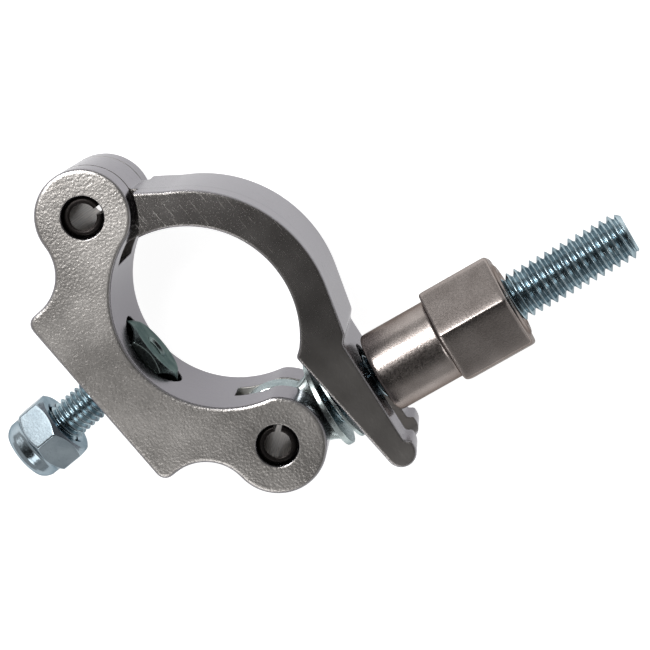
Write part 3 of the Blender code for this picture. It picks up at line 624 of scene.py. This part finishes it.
def makeSpringPin(name, pin, slitDeg):
    # a rounded wall section carried round the pin's axis from one side of the slit to the other, with both ends shut
    p = springPin
    rows, endR = p["rows"], p["outerR"] - p["endInset"]
    inner, low, high = p["outerR"] - p["wall"], p["recess"], castWidth - p["recess"]
    wall = softLoop([(inner, low), (endR, low), (p["outerR"], low + p["endTaper"]),
                     (p["outerR"], high - p["endTaper"]), (endR, high), (inner, high)], 0.3, 0.18)
    half = math.asin(p["slit"] / 2 / (p["outerR"] - p["wall"] / 2))
    turn = math.radians(slitDeg) + np.linspace(half, 2 * np.pi - half, rows)
    count = len(wall)
    points = np.stack([pin[0] + wall[None, :, 0] * np.cos(turn)[:, None],
                       pin[1] + wall[None, :, 0] * np.sin(turn)[:, None],
                       np.broadcast_to(wall[None, :, 1], (rows, count))], 2).reshape(-1, 3)
    faces = gridFaces(rows, count, False, True)
    faces += [list(range(count)), list(range((rows - 1) * count, rows * count))[::-1]]
    piece = addMesh(name, points, faces)
    outwardFaces(piece)
    crispShading(piece, 40)
    return piece


def outwardFaces(piece):
    # turns a closed mesh right side out, by the sign of the volume that its triangles enclose
    mesh = piece.data
    mesh.calc_loop_triangles()
    corner = np.empty(len(mesh.vertices) * 3)
    mesh.vertices.foreach_get("co", corner)
    index = np.empty(len(mesh.loop_triangles) * 3, int)
    mesh.loop_triangles.foreach_get("vertices", index)
    a, b, c = corner.reshape(-1, 3)[index.reshape(-1, 3)].transpose(1, 0, 2)
    if np.einsum("ij,ij->", a, np.cross(b, c)) < 0:
        mesh.flip_normals()


swingBolt = {
    "eyeR": 11.6, "eyeThickness": 8.6, "holeR": 5.15, "collarLow": 12.3, "collarThick": 1.5, "collarR": 11.5,
    "collarCrown": 0.1, "studR": 6.1, "pitch": 2.117, "studRoot": 0.6, "tip": 96.5, "chamfer": 1.5,
    "neckLow": 6.5, "neckOverlap": 0.4, "neckHalf": 7.8, "neckGrow": 2.4, "neckInset": 0.35, "neckPower": 0.32,
    "neckRows": 24,
}


def makeEye():
    # a flat ring round the swing pin, its section softened all round
    b = swingBolt
    half = b["eyeThickness"] / 2
    loop = [(b["holeR"], -half), (b["eyeR"], -half), (b["eyeR"], half), (b["holeR"], half)]
    piece = roundPiece("swingEye", loop, np.array([*swingPin[:2], midZ]), zAxis, xAxis, 160, True, spacing=0.2,
                       softness=0.35)
    outwardFaces(piece)
    return piece


def makeCollar():
    # a forged collar with a round rim, its top rising a little towards the stud
    b = swingBolt
    low, high = b["collarLow"], b["collarLow"] + b["collarThick"]
    profile = [(0, low), (b["collarR"], low), (b["collarR"], high), (b["studR"] + 0.3, high + b["collarCrown"] / 2),
               (0, high + b["collarCrown"])]
    piece = roundPiece("swingCollar", profile, np.array([*swingPin[:2], midZ]), studAxis, zAxis, 160, spacing=0.12,
                       softness=0.22)
    outwardFaces(piece)
    return piece


def makeNeck():
    # the tongue between eye and collar: half width = the neck's own plus its growth times t^3, with t from 0 at the
    # eye to 1 at the collar, and a rounded-box section: x and y are cos and sin, each raised to a small power
    b = swingBolt
    rows = b["neckRows"]
    t = np.linspace(0, 1, rows)
    height = b["neckLow"] + (b["collarLow"] + b["neckOverlap"] - b["neckLow"]) * t
    wide = b["neckHalf"] + b["neckGrow"] * t ** 3
    deep = b["eyeThickness"] / 2 - b["neckInset"]
    turn = np.linspace(0, 2 * np.pi, 96, endpoint=False)
    x = np.sign(np.cos(turn)) * np.abs(np.cos(turn)) ** b["neckPower"]
    y = np.sign(np.sin(turn)) * np.abs(np.sin(turn)) ** b["neckPower"]
    grid = (np.array([*swingPin[:2], midZ]) + height[:, None, None] * studAxis
            + (wide[:, None] * x[None])[..., None] * studAcross + (deep * y)[None, :, None] * zAxis)
    count = len(turn)
    faces = gridFaces(rows, count, False, True)
    faces += [list(range(count))[::-1], list(range((rows - 1) * count, rows * count))]
    piece = addMesh("swingNeck", grid.reshape(-1, 3), faces)
    outwardFaces(piece)
    crispShading(piece, 40)
    return piece


def makeStud():
    # the swing bolt's thread, from just inside the collar to its chamfered tip
    b = swingBolt
    piece = threadPiece("swingStud", b["studR"], b["pitch"], b["collarLow"] + b["studRoot"], b["tip"],
                        np.array([*swingPin[:2], midZ]), studAxis, zAxis, b["chamfer"])
    outwardFaces(piece)
    return piece


washer = {"outerR": 11.2, "holeR": 6.9, "thick": 0.8, "along": 15.75, "tiltDeg": 5.0}


def makeWasher():
    # a flat ring on the stud, leaning over from square
    w = washer
    lean = math.asin(studAxis[0]) - math.radians(w["tiltDeg"])
    axis = np.array([math.sin(lean), math.cos(lean), 0])
    half = w["thick"] / 2
    loop = [(w["holeR"], -half), (w["outerR"], -half), (w["outerR"], half), (w["holeR"], half)]
    place = np.array([*swingPin[:2], midZ]) + studAxis * w["along"]
    piece = roundPiece("studWasher", loop, place, axis, zAxis, 160, True, spacing=0.08, softness=0.12)
    outwardFaces(piece)
    return piece


sleeveNut = {
    "low": 27.5, "sleeveLength": 18.0, "sleeveR": 10.25, "footChamfer": 0.4, "hexLength": 18.5, "flats": 24.0,
    "cornerR": 13.7, "turnDeg": 12.6, "boreR": 6.4, "bossR": 9.4, "bossRise": 0.7, "boreFlare": 0.8,
    "boreFlareDeep": 0.5, "hexFrom": 0.15, "hexFull": 1.0, "edge": 0.8, "softness": 0.6, "sides": 240,
}


def makeSleeveNut():
    # radius = the profile's own radius times the hexagon's corner factor, where the profile stands outside the
    # sleeve, so that the ends of the hexagon are rounded evenly along every flat
    n = sleeveNut
    hexLow, apothem = n["low"] + n["sleeveLength"], n["flats"] / 2
    top = hexLow + n["hexLength"]
    loop = softLoop([(n["boreR"], n["low"]), (n["sleeveR"] - n["footChamfer"], n["low"]),
                     (n["sleeveR"], n["low"] + n["footChamfer"]), (n["sleeveR"], hexLow), (apothem, hexLow),
                     (apothem, top), (n["bossR"] + 0.1, top), (n["bossR"], top + n["bossRise"]),
                     (n["boreR"] + n["boreFlare"], top + n["bossRise"]), (n["boreR"], top - n["boreFlareDeep"])],
                    0.3, n["softness"])
    turn = np.linspace(0, 2 * np.pi, n["sides"], endpoint=False)
    factor = hexRadius(turn + np.pi / 6, n["flats"], n["cornerR"], n["edge"]) / apothem
    reach = apothem - n["hexFull"] - n["sleeveR"]
    share = np.clip((loop[:, :1] - n["sleeveR"] - n["hexFrom"]) / reach, 0, 1)
    radii = loop[:, :1] * (1 + (factor[None] - 1) * share)
    lean = math.radians(n["turnDeg"])
    zero = math.cos(lean) * zAxis - math.sin(lean) * studAcross
    piece = turnedPiece("sleeveNut", loop[:, 1], radii, np.array([*swingPin[:2], midZ]), studAxis, zero, True)
    outwardFaces(piece)
    return piece


mountingScrew = {
    "headTopY": -23.5, "headHeight": 6.4, "flats": 17.0, "cornerR": 9.75, "shankR": 5.0, "pitch": 1.5,
    "length": 35.0, "root": 0.5, "tipChamfer": 1.0, "dimpleR": 2.6, "dimpleDepth": 0.7, "dimpleSlope": 0.6,
    "topChamfer": 1.9, "topInset": 0.7, "footInset": 0.5, "beyond": 0.3,
}


def makeScrewHead():
    # a hexagon whose corners are cut back at the top, with a shallow dimple in the middle
    m = mountingScrew
    top, low = m["headTopY"], m["headTopY"] - m["headHeight"]
    half, wideR = m["flats"] / 2, m["cornerR"] + m["beyond"]
    profile = [(0, low), (half - m["footInset"], low), (wideR, low + m["beyond"]), (wideR, top - m["topChamfer"]),
               (half - m["topInset"], top), (m["dimpleR"] + m["dimpleSlope"], top),
               (m["dimpleR"] - m["dimpleSlope"] / 2, top - m["dimpleDepth"]), (0, top - m["dimpleDepth"])]
    piece = hexPiece("screwHead", profile, np.array([0, 0, midZ]), yAxis, xAxis, m["flats"], m["cornerR"], 0.12)
    outwardFaces(piece)
    return piece


def makeScrewThread():
    # the screw's thread, from just inside the head down to its chamfered tip
    m = mountingScrew
    start = -(m["headTopY"] - m["headHeight"]) - m["root"]
    piece = threadPiece("screwThread", m["shankR"], m["pitch"], start, start + m["length"] + m["root"],
                        np.array([0, 0, midZ]), -yAxis, zAxis, m["tipChamfer"])
    outwardFaces(piece)
    return piece


lockNut = {
    "topY": -53.5, "hexHeight": 8.4, "height": 12.9, "flats": 17.0, "cornerR": 9.75, "crownR": 8.0, "boreR": 5.3,
    "boreFlare": 0.9, "footInset": 0.5, "beyond": 0.3, "footChamfer": 1.7, "topChamfer": 2.0, "crownFoot": 0.3,
    "crownBend": [(0.05, 1.9), (0.5, 0.8)], "ringR": 6.35, "ringLow": 10.0, "ringHigh": 12.2, "lipWide": 0.5,
    "lipDeep": 0.8, "ringRoom": 0.05, "ringFloor": 0.2, "ringBite": 0.1,
}


def lockNutSection():
    # (radius, height) corners, heights running down from the nut's face: the face, the hexagon's two chamfers, the
    # crown's curve, the lip over the nylon ring, and the ring's groove
    n = lockNut
    half, wideR, hexTop, top = n["flats"] / 2, n["cornerR"] + n["beyond"], n["hexHeight"], n["height"]
    grooveR, floor = n["ringR"] + n["ringRoom"], n["ringLow"] - n["ringFloor"]
    crown = [(n["crownR"] - inset, top - drop) for inset, drop in n["crownBend"]]
    return [(n["boreR"], n["boreFlare"]), (n["boreR"] + n["boreFlare"], 0), (half - n["footInset"], 0),
            (wideR, n["footChamfer"]), (wideR, hexTop - n["topChamfer"]),
            (n["crownR"] + 0.25, hexTop - n["crownFoot"]), (n["crownR"] - 0.02, hexTop + n["crownFoot"]), *crown,
            (n["ringR"] + n["lipWide"], top), (n["ringR"] - n["beyond"], top - n["beyond"]),
            (grooveR, top - n["lipDeep"]), (grooveR, floor), (n["boreR"], floor)]


def makeLockNut():
    n = lockNut
    piece = hexPiece("lockNutSteel", lockNutSection(), np.array([0, n["topY"], midZ]), -yAxis, zAxis, n["flats"],
                     n["cornerR"], 0.10, True, spacing=0.14, softness=0.13)
    outwardFaces(piece)
    return piece


def makeLockRing():
    # the nylon ring, which stands a little inside the bore so that it grips the thread
    n = lockNut
    inner = n["boreR"] - n["ringBite"]
    loop = [(inner, n["ringLow"]), (n["ringR"], n["ringLow"]), (n["ringR"], n["ringHigh"]), (inner, n["ringHigh"])]
    piece = roundPiece("lockNutRing", loop, np.array([0, n["topY"], midZ]), -yAxis, zAxis, 96, True, spacing=0.15,
                       softness=0.2)
    outwardFaces(piece)
    return piece


print("stage: materials")
saddleFinish = tumbledNickelCasting("tumbledNickelCasting", finishes["saddle"])
# the arm's plating: its face tones darker than the saddle's are painted shade
armFinishWithPaintedShade = tumbledNickelCasting("polishedNickelCastingWithPaintedShade", finishes["arm"])
zincFinish = platedSteel("clearZincPlatedSteel", finishes["zinc"])
zincNutFinish = platedSteel("brightZincPlatedSteel", finishes["zincNut"])
zincHeadFinish = platedSteel("agedZincPlatedSteel", finishes["zincHead"])
zincEyeFinish = platedSteel("satinZincPlatedSteel", finishes["zincEye"])
nickelFinish = platedSteel("brightNickelPlatedSteel", finishes["nickel"])
springFinish = blackenedSpringSteel("blackenedSpringSteel", finishes["spring"])
nylonFinish = mouldedNylon("mouldedNylon", finishes["nylon"])

for make, arguments, body, node, slotName, finish in (
        (makeSaddle, (), "saddle", "saddle_body", "cast_aluminium", saddleFinish),
        (makeArm, (), "arm", "hinged_arm", "cast_aluminium", armFinishWithPaintedShade),
        (makeSpringPin, ("hingeSpringPin", hingePin, springPin["hingeSlitDeg"]), "saddle", "hinge_spring_pin",
         "black_spring_steel", springFinish),
        (makeSpringPin, ("swingSpringPin", swingPin, springPin["swingSlitDeg"]), "saddle", "eye_bolt_spring_pin",
         "black_spring_steel", springFinish),
        (makeEye, (), "swing_bolt", "eye_bolt", "zinc_plated_steel", zincEyeFinish),
        (makeCollar, (), "swing_bolt", "eye_bolt", "zinc_plated_steel", zincEyeFinish),
        (makeNeck, (), "swing_bolt", "eye_bolt", "zinc_plated_steel", zincEyeFinish),
        (makeStud, (), "swing_bolt", "eye_bolt", "zinc_plated_steel", zincFinish),
        (makeWasher, (), "washer", "stud_washer", "zinc_plated_steel", zincEyeFinish),
        (makeSleeveNut, (), "clamp_nut", "sleeve_nut", "nickel_plated_steel", nickelFinish),
        (makeScrewHead, (), "mounting_screw", "mounting_bolt", "zinc_plated_steel", zincHeadFinish),
        (makeScrewThread, (), "mounting_screw", "mounting_bolt", "zinc_plated_steel", zincFinish),
        (makeLockNut, (), "lock_nut", "lock_nut", "zinc_plated_steel", zincNutFinish),
        (makeLockRing, (), "lock_nut", "lock_ring", "blue_nylon", nylonFinish)):
    piece = make(*arguments)
    piece.data.materials.clear()
    piece.data.materials.append(finish)
    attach(piece, body)
    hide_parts(node)
    print("stage:", piece.name, len(piece.data.polygons), "faces")

studio = {
    "floorSize": 6000.0, "floorDrop": 0.1, "floorColour": "#a8a8a8", "floorGlow": 0.93,
    "worldTones": [(0.10, 0.50), (0.50, 0.56), (0.85, 0.03)],  # (height of the ray, grey)
    # places in metres, sizes in metres, powers in watts
    "lights": {
        "keyLight": {"place": (-0.80, -0.16, 0.58), "size": 0.42, "power": 1.30},
        "topLight": {"place": (-0.20, -0.02, 0.32), "size": 0.14, "power": 1.15},
        "lowLight": {"place": (0.16, -0.25, 0.33), "size": 0.16, "power": 0.30},
        "fillLight": {"place": (0.70, 0.40, 0.60), "size": 0.50, "power": 0.2}},
}


def makeStudio():
    # a glowing paper floor, a room that is pale at the sides and dark above, and four soft lamps turned to the origin
    o = studio
    half, drop = o["floorSize"] / 2, -o["floorDrop"]
    floor = addMesh("floor", [[-half, -half, drop], [half, -half, drop], [half, half, drop], [-half, half, drop]],
                    [[0, 1, 2, 3]])
    material, tree, shader, place = newMaterial("palePaper")
    shader.inputs["Base Color"].default_value = srgb(o["floorColour"])
    shader.inputs["Roughness"].default_value = 0.9
    shader.inputs["Specular IOR Level"].default_value = 0.1
    shader.inputs["Emission Color"].default_value = grey(1.0)
    shader.inputs["Emission Strength"].default_value = o["floorGlow"]
    floor.data.materials.append(material)
    world = bpy.data.worlds.new("studioRoom")
    bpy.context.scene.world = world
    world.use_nodes = True
    tree = world.node_tree
    ray = addNode(tree, "TexCoord").outputs["Generated"]
    up = addNode(tree, "SeparateXYZ", Vector=ray).outputs["Z"]
    tone = addNode(tree, "ValToRGB", stops=[(level, grey(tone)) for level, tone in o["worldTones"]],
                   Fac=up).outputs[0]
    tree.links.new(tone, tree.nodes["Background"].inputs["Color"])
    for name, lightOptions in o["lights"].items():
        light = bpy.data.lights.new(name, "AREA")
        light.size = lightOptions["size"]
        light.energy = lightOptions["power"]
        lamp = bpy.data.objects.new(name, light)
        lamp.location = lightOptions["place"]
        lamp.rotation_euler = (-Vector(lightOptions["place"])).to_track_quat("-Z", "Y").to_euler()
        bpy.context.scene.collection.objects.link(lamp)


camera = {
    "lens": 112.6, "sensor": 36.0, "place": (-29.9, 94.4, 500.9), "right": (0.6427, 0.7637, -0.0616),
    "up": (-0.7589, 0.6235, -0.1882), "back": (-0.1054, 0.1677, 0.9802),
}


def makeCamera():
    # the camera's own axes are the columns of its turn
    c = camera
    lens = bpy.data.cameras.new("studioCamera")
    lens.lens, lens.sensor_width = c["lens"], c["sensor"]
    lens.clip_start, lens.clip_end = 0.01, 50
    holder = bpy.data.objects.new("studioCamera", lens)
    turn = Matrix((c["right"], c["up"], c["back"])).transposed()
    holder.matrix_world = Matrix.Translation(np.array(c["place"]) * mm) @ turn.to_4x4()
    bpy.context.scene.collection.objects.link(holder)
    bpy.context.scene.camera = holder


makeStudio()
makeCamera()
bpy.context.scene.view_settings.view_transform = "Standard"
print("stage: studio ready")
